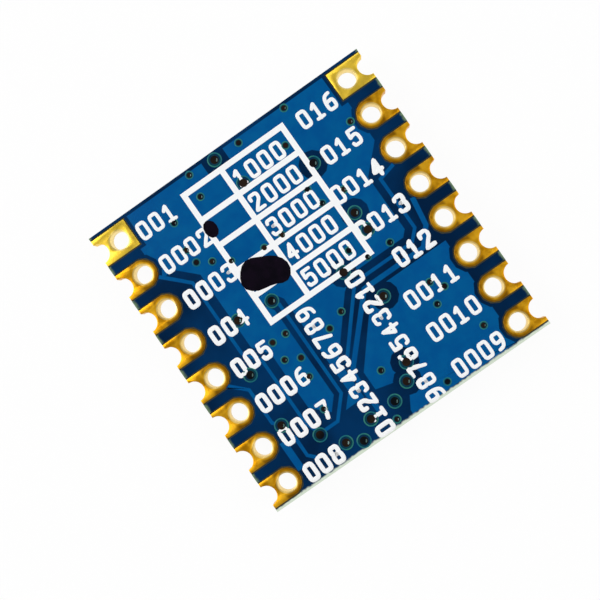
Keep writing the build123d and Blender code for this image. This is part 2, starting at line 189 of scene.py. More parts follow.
def merged_copy(node: bpy.types.Object, name: str) -> bpy.types.Object:
    """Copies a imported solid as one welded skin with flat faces.

    Args:
        node: The solid, which stays as it is.
        name: The copy's name.

    Returns:
        The copy.
    """
    copy = bpy.data.objects.new(name, node.data.copy())
    bpy.context.scene.collection.objects.link(copy)
    for key in list(copy.keys()):
        del copy[key]
    with editing(copy):
        bpy.ops.mesh.remove_doubles(threshold=WELD_GAP)
        bpy.ops.mesh.customdata_custom_splitnormals_clear()
        bpy.ops.mesh.normals_make_consistent(inside=False)
        bpy.ops.mesh.dissolve_limited(angle_limit=FLAT_ANGLE)
    return copy


# Shader groups and materials


class Sheet:
    """A material's or group's nodes, with short calls to add and link them."""

    def __init__(self, tree: bpy.types.NodeTree) -> None:
        """Keeps the tree.

        Args:
            tree: The node tree.
        """
        self.tree = tree

    def add(self, kind: str, **settings: object) -> bpy.types.Node:
        """Adds a node.

        Args:
            kind: The node's type.
            settings: Its properties.

        Returns:
            The node.
        """
        node = self.tree.nodes.new(kind)
        for name, value in settings.items():
            setattr(node, name, value)
        return node

    def feed(self, node: bpy.types.Node, name: str | int, value: object) -> None:
        """Links an output to a node's input, or writes a value there.

        Args:
            node: The node that is fed.
            name: The input's name or number.
            value: A socket, a number or a colour.
        """
        socket = node.inputs[name]
        if isinstance(value, bpy.types.NodeSocket):
            self.tree.links.new(value, socket)
        elif isinstance(value, tuple) and len(value) == 3 and socket.type == "RGBA":
            socket.default_value = (*value, 1.0)
        else:
            socket.default_value = value

    def math(self, operation: str, *values: object) -> bpy.types.NodeSocket:
        """Adds one step of arithmetic.

        Args:
            operation: The step.
            values: Its inputs.

        Returns:
            The result.
        """
        node = self.add("ShaderNodeMath", operation=operation)
        for index, value in enumerate(values):
            self.feed(node, index, value)
        return node.outputs[0]

    def ramp(self, value: object, low: object, high: object) -> bpy.types.NodeSocket:
        """Maps a value from a range to 0 and 1, with soft ends.

        Args:
            value: What is mapped.
            low: Where the result is 0.
            high: Where it is 1.

        Returns:
            The result.
        """
        node = self.add("ShaderNodeMapRange", interpolation_type="SMOOTHSTEP")
        self.feed(node, "Value", value)
        self.feed(node, "From Min", low)
        self.feed(node, "From Max", high)
        return node.outputs["Result"]

    def blend(self, share: object, first: object, second: object) -> bpy.types.NodeSocket:
        """Mixes two colours.

        Args:
            share: How much of the second.
            first: A colour.
            second: A colour.

        Returns:
            The mixed colour.
        """
        node = self.add("ShaderNodeMix", data_type="RGBA")
        for index, value in zip((0, 6, 7), (share, first, second)):
            self.feed(node, index, value)
        return node.outputs[2]

    def between(self, share: object, low: float, high: float) -> bpy.types.NodeSocket:
        """Returns the value that lies a share of the way from low to high."""
        return self.math("MULTIPLY_ADD", share, high - low, low)

    def axes(self, place: bpy.types.NodeSocket) -> bpy.types.NodeOutputs:
        """Splits a place.

        Args:
            place: The coordinates.

        Returns:
            Its values along X, Y and Z.
        """
        parts = self.add("ShaderNodeSeparateXYZ")
        self.feed(parts, 0, place)
        return parts.outputs

    def millimetres(self) -> bpy.types.NodeSocket:
        """Reads where a point of the surface is.

        Returns:
            The object's own coordinates in millimetres.
        """
        scale = self.add("ShaderNodeMapping")
        self.feed(scale, "Vector", self.add("ShaderNodeTexCoord").outputs["Object"])
        scale.inputs["Scale"].default_value = (1 / MM,) * 3
        return scale.outputs[0]

    def from_middle(self, place: bpy.types.NodeSocket) -> bpy.types.NodeSocket:
        """Measures from the board's middle plane, because both sides have the same layers.

        Args:
            place: Coordinates in millimetres.

        Returns:
            The height of the same layer on the printed side.
        """
        middle = Layer.MIDDLE.value
        away = self.math("ABSOLUTE", self.math("SUBTRACT", self.axes(place)["Z"], middle))
        return self.math("ADD", away, middle)

    def use(self, group: bpy.types.NodeTree, **values: object) -> bpy.types.Node:
        """Places a shader group.

        Args:
            group: The group's tree.
            values: Its inputs, with underscores for spaces.

        Returns:
            The group's node.
        """
        node = self.add("ShaderNodeGroup", node_tree=group)
        for name, value in values.items():
            self.feed(node, name.replace("_", " "), value)
        return node


def new_group(name: str, inputs: Iterable[tuple[str, str]],
              outputs: Iterable[tuple[str, str]]) -> tuple[Sheet, bpy.types.Node, bpy.types.Node]:
    """Starts a shader group.

    Args:
        name: The group's name.
        inputs: Name and kind of each input.
        outputs: Name and kind of each output.

    Returns:
        The group's sheet, its input node and its output node.
    """
    tree = bpy.data.node_groups.new(name, "ShaderNodeTree")
    for side, sockets in (("INPUT", inputs), ("OUTPUT", outputs)):
        for label, kind in sockets:
            tree.interface.new_socket(name=label, in_out=side, socket_type=f"NodeSocket{kind}")
    sheet = Sheet(tree)
    return sheet, sheet.add("NodeGroupInput"), sheet.add("NodeGroupOutput")


def cloud_group() -> bpy.types.NodeTree:
    """Builds the group for soft uneven patches.

    Returns:
        The group, which gives a mask from 0 to 1.
    """
    sheet, given, result = new_group(
        "soft_patches",
        (("Place", "Vector"), ("Size", "Float"), ("Low", "Float"), ("High", "Float")),
        (("Mask", "Float"),),
    )
    noise = sheet.add("ShaderNodeTexNoise")
    sheet.feed(noise, "Vector", given.outputs["Place"])
    sheet.feed(noise, "Scale", sheet.math("DIVIDE", 1.0, given.outputs["Size"]))
    sheet.feed(noise, "Detail", 3.0)
    sheet.feed(result, "Mask", sheet.ramp(noise.outputs["Fac"], given.outputs["Low"],
                                          given.outputs["High"]))
    return sheet.tree


def grain_group() -> bpy.types.NodeTree:
    """Builds the group for fine unevenness of a surface.

    Returns:
        The group, which gives a normal.
    """
    sheet, given, result = new_group(
        "fine_grain",
        (("Place", "Vector"), ("Size", "Float"), ("Depth", "Float")),
        (("Normal", "Vector"),),
    )
    noise = sheet.add("ShaderNodeTexNoise")
    sheet.feed(noise, "Vector", given.outputs["Place"])
    sheet.feed(noise, "Scale", sheet.math("DIVIDE", 1.0, given.outputs["Size"]))
    sheet.feed(noise, "Detail", 2.0)
    bump = sheet.add("ShaderNodeBump")
    sheet.feed(bump, "Strength", 1.0)
    bump.inputs["Distance"].default_value = MM
    sheet.feed(bump, "Height", sheet.math("MULTIPLY", noise.outputs["Fac"],
                                          given.outputs["Depth"]))
    sheet.feed(result, "Normal", bump.outputs["Normal"])
    return sheet.tree


@dataclass
class Shop:
    """The shader groups that the finishes share."""

    patches: bpy.types.NodeTree = field(default_factory=cloud_group)
    grain: bpy.types.NodeTree = field(default_factory=grain_group)

    def start(self, name: str, metallic: float, gloss: float,
              grain: tuple[float, float]) -> tuple[Sheet, bpy.types.Node, bpy.types.NodeSocket]:
        """Starts a material with its fine grain.

        Args:
            name: The material's name.
            metallic: 1 for bare metal, 0 for the rest.
            gloss: Strength of the plain reflection of a surface that isn't metal.
            grain: Size and depth of the grain, in millimetres.

        Returns:
            The material's sheet, its Principled node and its coordinates in millimetres.
        """
        material = bpy.data.materials.new(name)
        material.use_nodes = True
        sheet = Sheet(material.node_tree)
        shader = material.node_tree.nodes["Principled BSDF"]
        shader.inputs["Metallic"].default_value = metallic
        shader.inputs["Specular IOR Level"].default_value = gloss
        place = sheet.millimetres()
        bumps = sheet.use(self.grain, Place=place, Size=grain[0], Depth=grain[1])
        sheet.feed(shader, "Normal", bumps.outputs["Normal"])
        return sheet, shader, place

    def patch(self, sheet: Sheet, place: bpy.types.NodeSocket, size: float,
              span: Span = (0.35, 0.65)) -> bpy.types.NodeSocket:
        """Adds soft patches to a material.

        Args:
            sheet: The material's sheet.
            place: Coordinates in millimetres.
            size: The patches' size, in millimetres.
            span: The noise values at which a patch starts and is full.

        Returns:
            A mask from 0 to 1.
        """
        node = sheet.use(self.patches, Place=place, Size=size, Low=span[0], High=span[1])
        return node.outputs["Mask"]


@dataclass(frozen=True)
class PlainFinish:
    """A finish of two near colours in soft patches, with an uneven gloss."""

    name: str
    colour: Colour
    tint: Colour
    patch: float = 0.6
    metallic: float = 0.0
    gloss: float = 0.5
    rough: Span = (0.35, 0.5)
    # size and depth of the grain, in millimetres
    grain: tuple[float, float] = (0.05, 0.002)

    def make(self, shop: Shop) -> bpy.types.Material:
        """Builds the material.

        Args:
            shop: The shared groups.

        Returns:
            The material.
        """
        sheet, shader, place = shop.start(self.name, self.metallic, self.gloss, self.grain)
        mask = shop.patch(sheet, place, self.patch)
        sheet.feed(shader, "Base Color", sheet.blend(mask, self.colour, self.tint))
        sheet.feed(shader, "Roughness", sheet.between(mask, *self.rough))
        return bpy.data.materials[self.name]


@dataclass(frozen=True)
class Lacquer:
    """Glossy blue lacquer: dark over bare laminate and lighter where it rises over copper.

    It turns to a pale green line at the long edges and to a near-white band at the lower end,
    both with ragged borders.
    """

    name: str = "blue_lacquer"
    deep: Colour = linear(0, 48, 92)
    deepest: Colour = linear(0, 30, 62)
    over_copper: Colour = linear(0, 79, 140)
    teal: Colour = linear(0, 87, 144)
    edge_green: Colour = linear(112, 136, 104)
    end_pale: Colour = linear(214, 226, 208)
    gloss: float = 0.04
    rough: Span = (0.3, 0.38)
    grain: tuple[float, float] = (0.35, 0.0015)
    rise: Span = (Layer.LACQUER.value + 0.001, Layer.LACQUER_OVER_COPPER.value - 0.001)
    wide_patch: float = 4.0
    near_patch: float = 0.7
    ragged_patch: float = 0.25
    ragged_depth: float = 0.06
    # distances from the middle at which the green line at the long edges and the pale band at the
    # lower end start and are full
    edge_green_span: Span = (7.66, 7.82)
    end_pale_span: Span = (7.74, 7.84)

    def make(self, shop: Shop) -> bpy.types.Material:
        """Builds the material.

        Args:
            shop: The shared groups.

        Returns:
            The material.
        """
        sheet, shader, place = shop.start(self.name, 0.0, self.gloss, self.grain)
        wide = shop.patch(sheet, place, self.wide_patch)
        near = shop.patch(sheet, place, self.near_patch, (0.3, 0.7))
        ragged = shop.patch(sheet, place, self.ragged_patch, (0.3, 0.7))
        ragged_shift = sheet.math("MULTIPLY", ragged, self.ragged_depth)
        axes = sheet.axes(place)
        across = sheet.math("ADD", sheet.math("ABSOLUTE", axes["X"]), ragged_shift)
        along = sheet.math("SUBTRACT", ragged_shift, axes["Y"])
        skin = sheet.blend(sheet.ramp(sheet.from_middle(place), *self.rise),
                           sheet.blend(wide, self.deep, self.deepest),
                           sheet.blend(near, self.over_copper, self.teal))
        skin = sheet.blend(sheet.ramp(across, *self.edge_green_span), skin, self.edge_green)
        skin = sheet.blend(sheet.ramp(along, *self.end_pale_span), skin, self.end_pale)
        sheet.feed(shader, "Base Color", skin)
        sheet.feed(shader, "Roughness", sheet.between(near, *self.rough))
        return bpy.data.materials[self.name]


@dataclass(frozen=True)
class GoldPlate:
    """Gold over copper, with a painted highlight round the holes, a painted dark reflection in
    brown at the inner rims of the round lands, and a painted yellow highlight on the square pads.
    """

    name: str = "gold_plate"
    gold: Colour = linear(214, 148, 14)
    bright: Colour = linear(236, 178, 36)
    reflection_brown: Colour = linear(128, 84, 16)
    shine: Colour = linear(255, 232, 150)
    square_pad_highlight: Colour = linear(255, 220, 76)
    rough: Span = (0.34, 0.46)
    grain: tuple[float, float] = (0.12, 0.004)
    patch: float = 0.6
    pitch: float = 2.0
    column: float = 6.625
    # distances from the header hole's axis at which the painted highlight ends and the painted
    # dark reflection is full
    shine_rim: Span = (0.48, 0.55)
    dark_reflection_ring: Span = (0.55, 0.65)
    # how far out from the column of holes the painted dark reflection ends, and where the square
    # pads start
    dark_reflection_end: Span = (0.3, 0.5)
    square_pads: Span = (6.0, 6.2)
    shine_share: float = 0.75
    dark_reflection_share: float = 0.75
    square_pad_highlight_share: float = 0.85

    def make(self, shop: Shop) -> bpy.types.Material:
        """Builds the material.

        Args:
            shop: The shared groups.

        Returns:
            The material.
        """
        sheet, shader, place = shop.start(self.name, 1.0, 0.5, self.grain)
        axes = sheet.axes(place)
        # distance from the nearest header hole's axis
        across = sheet.math("SUBTRACT", sheet.math("ABSOLUTE", axes["X"]), self.column)
        along = sheet.math("SUBTRACT", sheet.math("FLOORED_MODULO", axes["Y"], self.pitch),
                           self.pitch / 2)
        away = sheet.math("SQRT", sheet.math(
            "ADD", sheet.math("MULTIPLY", across, across), sheet.math("MULTIPLY", along, along)))
        # painted highlight: lighter gold at the rim of each header hole
        shine = sheet.between(sheet.ramp(away, *self.shine_rim), self.shine_share, 0.0)
        inner = sheet.between(sheet.ramp(across, *self.dark_reflection_end), 1.0, 0.0)
        square = sheet.ramp(axes["Y"], *self.square_pads)
        patch = shop.patch(sheet, place, self.patch)
        # painted dark reflection: brown on the outer part of each round land's ring, on its side
        # towards the middle
        dark_reflection = sheet.math(
            "MULTIPLY", sheet.math("MULTIPLY", sheet.ramp(away, *self.dark_reflection_ring), inner),
            sheet.between(square, self.dark_reflection_share, 0.0))
        base = sheet.blend(patch, self.gold, self.bright)
        base = sheet.blend(dark_reflection, base, self.reflection_brown)
        # painted highlight: light yellow over the square pads
        base = sheet.blend(sheet.math("MULTIPLY", square, self.square_pad_highlight_share), base, self.square_pad_highlight)
        sheet.feed(shader, "Base Color", sheet.blend(shine, base, self.shine))
        sheet.feed(shader, "Roughness", sheet.between(patch, *self.rough))
        return bpy.data.materials[self.name]


@dataclass(frozen=True)
class GlassLaminate:
    """The board's cut edge, pale with the lines of its glass weave, and its darker faces."""

    name: str = "glass_laminate"
    resin: Colour = linear(196, 200, 140)
    glass: Colour = linear(226, 226, 190)
    drilled_face: Colour = linear(58, 60, 40)
    gloss: float = 0.4
    rough: Span = (0.7, 0.5)
    grain: tuple[float, float] = (0.03, 0.004)
    ply: float = 0.2573
    # thickness of one line of Blender's wave texture at a scale of 1
    wave: float = math.pi / 10
    waviness: float = 1.5
    waviness_scale: float = 3.0
    face: Span = (Layer.LAMINATE.value - 0.02, Layer.LAMINATE.value - 0.002)

    def make(self, shop: Shop) -> bpy.types.Material:
        """Builds the material.

        Args:
            shop: The shared groups.

        Returns:
            The material.
        """
        sheet, shader, place = shop.start(self.name, 0.0, self.gloss, self.grain)
        plies = sheet.add("ShaderNodeTexWave", bands_direction="Z")
        for name, value in (("Vector", place), ("Scale", self.wave / self.ply),
                            ("Distortion", self.waviness), ("Detail Scale", self.waviness_scale)):
            sheet.feed(plies, name, value)
        cut = sheet.blend(plies.outputs["Fac"], self.resin, self.glass)
        face = sheet.ramp(sheet.from_middle(place), *self.face)
        sheet.feed(shader, "Base Color", sheet.blend(face, cut, self.drilled_face))
        sheet.feed(shader, "Roughness", sheet.between(plies.outputs["Fac"], *self.rough))
        return bpy.data.materials[self.name]


class Finish(Enum):
    """Every finish of the module."""

    LACQUER = Lacquer()
    GOLD = GoldPlate()
    LAMINATE = GlassLaminate()
    FOIL = PlainFinish("copper_foil", linear(184, 110, 70), linear(150, 86, 54), metallic=1.0)
    WHITE_INK = PlainFinish("white_ink", linear(250, 252, 252), linear(242, 247, 250),
                            patch=0.3, gloss=0.2, rough=(0.55, 0.7), grain=(0.04, 0.003))
    PEN = PlainFinish("pen_ink", linear(4, 1, 10), linear(12, 4, 18), patch=0.4, gloss=0.05,
                      rough=(0.5, 0.7), grain=(0.06, 0.002))
    VIA_RING = PlainFinish("via_ring", linear(18, 100, 112), linear(44, 118, 104), patch=0.4,
                           gloss=0.15, rough=(0.3, 0.4), grain=(0.1, 0.002))
    VIA_MOAT = PlainFinish("via_moat", linear(0, 44, 74), linear(0, 60, 72), patch=0.5,
                           gloss=0.1, rough=(0.3, 0.4), grain=(0.1, 0.002))
    # painted shade: near black for the shade inside the open hole, brown in some vias
    VIA_CORE = PlainFinish("via_hole_shade", linear(2, 8, 14), linear(34, 22, 12), patch=1.6,
                           gloss=0.1, rough=(0.3, 0.4), grain=(0.06, 0.002))
    VIA_GLINT = PlainFinish("via_glint", linear(120, 152, 150), linear(70, 100, 96), patch=1.1,
                            gloss=0.5, rough=(0.2, 0.3), grain=(0.06, 0.002))
    MOULDING = PlainFinish("moulded_epoxy", linear(34, 34, 36), linear(44, 44, 46), patch=0.4,
                           rough=(0.5, 0.62), grain=(0.03, 0.006))
    MARK = PlainFinish("laser_mark", linear(150, 150, 148), linear(130, 130, 128), patch=0.1,
                       rough=(0.7, 0.8), grain=(0.02, 0.004))
    LID_MARK = PlainFinish("etched_mark", linear(92, 88, 82), linear(110, 104, 96), patch=0.1,
                           metallic=1.0, rough=(0.6, 0.75), grain=(0.02, 0.003))
    TIN = PlainFinish("tinned_metal", linear(206, 206, 210), linear(176, 176, 180), patch=0.3,
                      metallic=1.0, rough=(0.2, 0.38), grain=(0.08, 0.006))
    LID = PlainFinish("lid_metal", linear(198, 192, 180), linear(184, 178, 166), patch=0.5,
                      metallic=1.0, rough=(0.25, 0.35), grain=(0.05, 0.003))
    WHITE_CERAMIC = PlainFinish("white_ceramic", linear(214, 208, 196), linear(202, 196, 184),
                                rough=(0.45, 0.6), grain=(0.04, 0.004))
    TAN_CERAMIC = PlainFinish("tan_ceramic", linear(158, 118, 84), linear(144, 104, 74),
                              rough=(0.35, 0.5), grain=(0.04, 0.003))
    BLUE_CERAMIC = PlainFinish("blue_ceramic", linear(96, 120, 152), linear(84, 108, 140),
                               rough=(0.3, 0.45), grain=(0.04, 0.003))
    BLACK_FILM = PlainFinish("black_film", linear(22, 22, 26), linear(30, 30, 34), patch=0.2,
                             rough=(0.2, 0.35), grain=(0.05, 0.003))


# The printed side


@dataclass
class LacquerRelief:
    """The lacquer over the copper, which stands a little higher than over bare laminate."""

    slope: float = 0.06
    rise: float = Layer.LACQUER_OVER_COPPER.value - Layer.LACQUER.value
    # makes the copper's outline thick enough to cut the raised plate from the lacquer
    stretch: float = 12.0

    def printed_side(self, copper: bpy.types.Object) -> bpy.types.Object:
        """Makes a skin with sloping sides from the copper's own outline.

        Args:
            copper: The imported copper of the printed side.

        Returns:
            The skin.
        """
        skin = merged_copy(copper, "lacquer_over_copper")
        top = max(vertex.co.z for vertex in skin.data.vertices)
        mesh = skin.data
        mesh.vertices.foreach_set("select", [False] * len(mesh.vertices))
        mesh.edges.foreach_set("select", [False] * len(mesh.edges))
        mesh.polygons.foreach_set("select", [
            face.normal.z < 0.5 or face.center.z < top - 0.001 * MM for face in mesh.polygons])
        mesh.update()
        with editing(skin, everything=False):
            bpy.ops.mesh.delete(type="FACE")
            bpy.ops.mesh.select_all(action="SELECT")
            bpy.ops.transform.translate(value=(0, 0, Layer.LACQUER.value * MM - top))
            bpy.ops.mesh.inset(thickness=self.slope * MM, depth=self.rise * MM,
                               use_boundary=True, use_even_offset=False)
        smooth(skin)
        return skin

    def hidden_side(self, mask: bpy.types.Object, copper: bpy.types.Object) -> bpy.types.Object:
        """Makes a raised plate where this side's lacquer covers copper, clear of its windows.

        Args:
            mask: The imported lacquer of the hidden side.
            copper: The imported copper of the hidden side.

        Returns:
            The plate.
        """
        plate = merged_copy(mask, "hidden_lacquer_over_copper")
        outline = merged_copy(copper, "copper_outline")
        inner = max(vertex.co.z for vertex in outline.data.vertices)
        with editing(outline):
            bpy.ops.transform.resize(value=(1, 1, self.stretch), center_override=(0, 0, inner))
        with editing(plate):
            bpy.ops.transform.translate(value=(0, 0, -self.rise * MM))
        meet = plate.modifiers.new("meet", "BOOLEAN")
        meet.operation = "INTERSECT"
        meet.solver = "EXACT"
        meet.object = outline
        pick(plate)
        bpy.ops.object.modifier_apply(modifier=meet.name)
        bpy.data.objects.remove(outline)
        return plate


@dataclass
class Vias:
    """Plated holes under the lacquer: a green-blue ring, a dark moat and a core painted near
    black as the shade inside the hole.
    """

    small: Sequence[Point] = (
        (-2.1, 7.6), (0.7, 7.5), (3.4, 7.6), (-2.25, 6.45), (2.45, 6.1), (-4.0, 6.15),
        (-4.25, 4.75), (-4.2, 4.0), (-3.55, 3.6), (-2.8, 3.1), (-1.15, 2.7), (-0.1, 2.7),
        (2.3, 2.85), (2.1, 3.8), (3.5, 2.8), (5.6, 5.25), (2.05, 0.3), (2.6, -0.45),
        (3.85, -0.5), (-3.4, -1.2), (-2.65, -1.2), (-3.4, -2.2), (-2.7, -2.55), (-2.9, -3.5),
        (0.1, -1.85), (-0.8, -2.2), (-3.2, -5.15), (4.3, -3.1), (4.75, -3.65), (4.0, -4.15),
        (5.2, -6.2), (2.3, -7.4), (0.05, -5.2), (-0.65, -7.5),
    )
    large: Sequence[Point] = (
        (-0.7, 7.5), (-0.2, 5.8), (3.05, 4.65), (3.3, 1.6), (3.35, 0.6), (-4.15, 0.6),
        (-2.3, 0.45), (1.25, -0.4), (-5.15, -1.85), (2.15, -2.4), (1.25, -5.55),
        (0.75, -6.3), (-0.25, -6.75), (-1.65, -6.8), (-2.5, -7.45), (-3.25, -7.05),
        (-4.05, -6.05), (-5.3, -4.65),
    )
    # radii of the ring and of the core
    small_radii: tuple[float, float] = (0.215, 0.12)
    large_radii: tuple[float, float] = (0.36, 0.2)
    sides: int = 20
    # heights of the ring's foot and crest and of the core
    foot: float = Layer.LACQUER.value + 0.001
    crest: float = 1.8225
    core_top: float = 1.828
    # widths of the ring's bank and band, width and depth of the groove inside it
    bank: float = 0.015
    band: float = 0.045
    groove: tuple[float, float] = (0.01, 0.001)
    # the core's wall, its two inner steps as shares of its radius, and its dish
    core_wall: float = 0.005
    core_steps: tuple[float, float] = (0.25, 0.3)
    core_dish: float = 0.0012
    # where the core shines, in shares of its radius, and how narrow that is, as a cosine
    glint_towards: Point = (0.81, -0.59)
    glint_span: Span = (0.4, 0.8)
    glint_width: float = 0.86
    # what a via of the hidden side stands on, and its distance from anything else
    hidden_lacquer: tuple[str, str] = ("part_side_mask", "hidden_lacquer_over_copper")
    clearance: float = 0.06

    def pattern(self, name: str, ring: float, core: float, glint: bool,
                materials: Sequence[bpy.types.Material]) -> bpy.types.Object:
        """Shapes one via at the origin, standing on the lacquer.

        Args:
            name: The object's name.
            ring: Radius of the ring.
            core: Radius of the core, which is painted dark as the shade inside the hole.
            glint: Whether the core's wall shines on one side.
            materials: Those of the ring, the moat, the core and the glint.

        Returns:
            The via.
        """
        bpy.ops.mesh.primitive_circle_add(vertices=self.sides, radius=ring * MM,
                                          fill_type="NGON", location=(0, 0, self.foot * MM))
        via = bpy.context.object
        via.name = name
        groove, drop = self.groove
        with editing(via):
            for inward, up in (
                (self.bank, self.crest - self.foot),
                (self.band, 0.0),
                (groove, -drop),
                (ring - core - self.band - 2 * self.bank, 0.0),
                (self.core_wall, self.core_top - self.crest + drop),
                (core * self.core_steps[0], 0.0),
                (core * self.core_steps[1], -self.core_dish),
            ):
                bpy.ops.mesh.inset(thickness=inward * MM, depth=up * MM)
            bpy.ops.mesh.poke()
        place_in_mesh(via)
        wear(via, *materials)
        light = Vector(self.glint_towards)
        start, end = (share * core for share in self.glint_span)
        for face in via.data.polygons:
            middle = face.center.xy / MM
            far = middle.length
            if far > ring - self.band - self.bank:
                face.material_index = 0
            elif far > core:
                face.material_index = 1
            elif (glint and start < far < end
                  and middle.normalized().dot(light) > self.glint_width):
                face.material_index = 3
            else:
                face.material_index = 2
        smooth(via, 50.0)
        return via

    def open_below(self, place: Point, ring: float) -> bool:
        """Looks up at a via's place from below.

        Args:
            place: The via's place, in millimetres.
            ring: The radius of its ring.

        Returns:
            Whether only lacquer is seen there.
        """
        graph = bpy.context.evaluated_depsgraph_get()
        spots = [(0.0, 0.0)] + [
            (reach * math.cos(step * math.pi / 6), reach * math.sin(step * math.pi / 6))
            for step in range(12) for reach in (ring / 2, ring + self.clearance)]
        for across, along in spots:
            start = Vector((place[0] + across, place[1] + along, -1.0)) * MM
            seen = bpy.context.scene.ray_cast(graph, start, Vector((0, 0, 1)))[4]
            if seen is None or seen.name not in self.hidden_lacquer:
                return False
        return True

    def build(self, materials: Sequence[bpy.types.Material]) -> list[bpy.types.Object]:
        """Copies the patterns to every via's place; two in three have a glint.

        Args:
            materials: Those of the ring, the moat, the core and the glint.

        Returns:
            The vias of the printed side and those of the hidden side, one object each.
        """
        turn_over = (Matrix.Translation((0, 0, 2 * Layer.MIDDLE.value * MM))
                     @ Matrix.Rotation(math.pi, 4, "X"))
        printed, hidden = [], []
        for name, places, radii in (("small_via", self.small, self.small_radii),
                                    ("large_via", self.large, self.large_radii)):
            kinds = [self.pattern(name, *radii, glint, materials)
                     for glint in (True, False, True)]
            for index, (x, y) in enumerate(places):
                sides = [(printed, Matrix())]
                if self.open_below((x, y), radii[0]):
                    sides.append((hidden, turn_over))
                for side, turn in sides:
                    copy = kinds[index % 3].copy()
                    copy.data = kinds[index % 3].data.copy()
                    bpy.context.scene.collection.objects.link(copy)
                    copy.data.transform(Matrix.Translation((x * MM, y * MM, 0)) @ turn)
                    side.append(copy)
            for kind in kinds:
                bpy.data.objects.remove(kind)
        return [joined("label_vias", printed), joined("hidden_vias", hidden)]


# Strokes of the digits in a square cell: control points of each stroke, and whether it closes
DIGITS: dict[str, tuple[tuple[tuple[Point, ...], bool], ...]] = {
    "0": ((((0.5, 1), (0, 1), (0, 0.5), (0, 0), (0.5, 0), (1, 0), (1, 0.5), (1, 1)), True),),
    "1": ((((0.12, 0.78), (0.5, 1), (0.5, 1), (0.5, 0)), False),
          (((0.12, 0), (0.88, 0)), False)),
    "2": ((((0, 0.75), (0, 1), (0.5, 1), (1, 1), (1, 0.62), (0.6, 0.42), (0, 0), (0, 0),
            (1, 0)), False),),
    "3": ((((0, 0.86), (0.1, 1), (0.5, 1), (1, 1), (1, 0.54), (0.45, 0.54)), False),
          (((0.45, 0.54), (1, 0.54), (1, 0), (0.5, 0), (0.1, 0), (0, 0.16)), False)),
    "4": ((((0.72, 0), (0.72, 1), (0.72, 1), (0, 0.3), (0, 0.3), (1, 0.3)), False),),
    "5": ((((0.95, 1), (0.08, 1), (0.08, 1), (0.04, 0.55), (0.04, 0.55), (0.5, 0.66),
            (1, 0.6), (1, 0), (0.45, 0), (0.08, 0), (0, 0.14)), False),),
    "6": ((((0.85, 1), (0.3, 0.95), (0, 0.6), (0, 0), (0.5, 0), (1, 0), (1, 0.56),
            (0.5, 0.56), (0.06, 0.5)), False),),
    "7": ((((0, 1), (1, 1), (1, 1), (0.35, 0)), False),),
    "8": ((((0.5, 1), (0.06, 1), (0.06, 0.54), (0.5, 0.54), (0.94, 0.54), (0.94, 1)), True),
          (((0.5, 0.54), (0, 0.54), (0, 0), (0.5, 0), (1, 0), (1, 0.54)), True)),
    "9": ((((0.15, 0), (0.7, 0.05), (1, 0.4), (1, 1), (0.5, 1), (0, 1), (0, 0.44),
            (0.5, 0.44), (0.94, 0.5)), False),),
}


@dataclass
class Lettering:
    """Plain numbers in the rounded strokes of printed board lettering."""

    height: float = 0.98
    width: float = 0.62
    advance: float = 0.73
    stroke: float = 0.22
    rise: float = 0.016
    # shares of the stroke's width at its tip and just before it, and how far before
    tip: tuple[float, float, float] = (0.45, 0.85, 0.7)
    curve_steps: int = 4
    round_steps: int = 2

    def stroke_curve(self, text: str, name: str) -> bpy.types.Object:
        """Draws a number as round strokes along X, from the origin.

        Args:
            text: The digits.
            name: The curve's name.

        Returns:
            A curve object.
        """
        bpy.ops.curve.primitive_nurbs_path_add()
        lines = bpy.context.object
        lines.name = name
        curve = lines.data
        curve.splines.clear()
        curve.dimensions = "3D"
        curve.resolution_u = self.curve_steps
        curve.bevel_depth = self.stroke / 2 * MM
        curve.bevel_resolution = self.round_steps
        curve.use_fill_caps = True
        wide, tall = self.width - self.stroke, self.height - self.stroke
        for index, digit in enumerate(text):
            for points, closes in DIGITS[digit]:
                places = [
                    Vector(((index * self.advance + self.stroke / 2 + x * wide) * MM,
                            (self.stroke / 2 + y * tall) * MM, 0))
                    for x, y in points
                ]
                self.add_stroke(curve, places, closes)
        return lines

    def add_stroke(self, curve: bpy.types.Curve, places: list[Vector], closes: bool) -> None:
        """Adds one stroke, with ends that taper to a round tip.

        Args:
            curve: The curve that it goes into.
            places: Its control points.
            closes: Whether it is a loop.
        """
        radii = [1.0] * len(places)
        if not closes:
            thin, thick, before = self.tip
            start = (places[1] - places[0]).normalized() * self.stroke / 2 * MM
            end = (places[-2] - places[-1]).normalized() * self.stroke / 2 * MM
            places = [places[0] - start, places[0] - start * before, *places,
                      places[-1] - end * before, places[-1] - end]
            radii = [thin, thick, *radii, thick, thin]
        spline = curve.splines.new("NURBS")
        spline.points.add(len(places) - 1)
        for point, place, radius in zip(spline.points, places, radii):
            point.co = (*place, 1)
            point.radius = radius
        spline.use_cyclic_u = closes
        spline.use_endpoint_u = not closes
        spline.order_u = 3

    def number(self, text: str, place: Matrix) -> bpy.types.Object:
        """Prints a number.

        Args:
            text: The digits.
            place: Takes the origin to the number's lower left corner and +Z out of the surface.

        Returns:
            The number, as a mesh in its place.
        """
        ink = self.stroke_curve(text, f"number_{text}")
        pick(ink)
        bpy.ops.object.convert(target="MESH")
        ink = bpy.context.object
        ink.scale = (1, 1, self.rise / (self.stroke / 2))
        place_in_mesh(ink)
        with editing(ink):
            bpy.ops.mesh.bisect(plane_co=(0, 0, 0), plane_no=(0, 0, 1), clear_inner=True,
                                use_fill=False)
        ink.matrix_world = place
        place_in_mesh(ink)
        smooth(ink)
        return ink


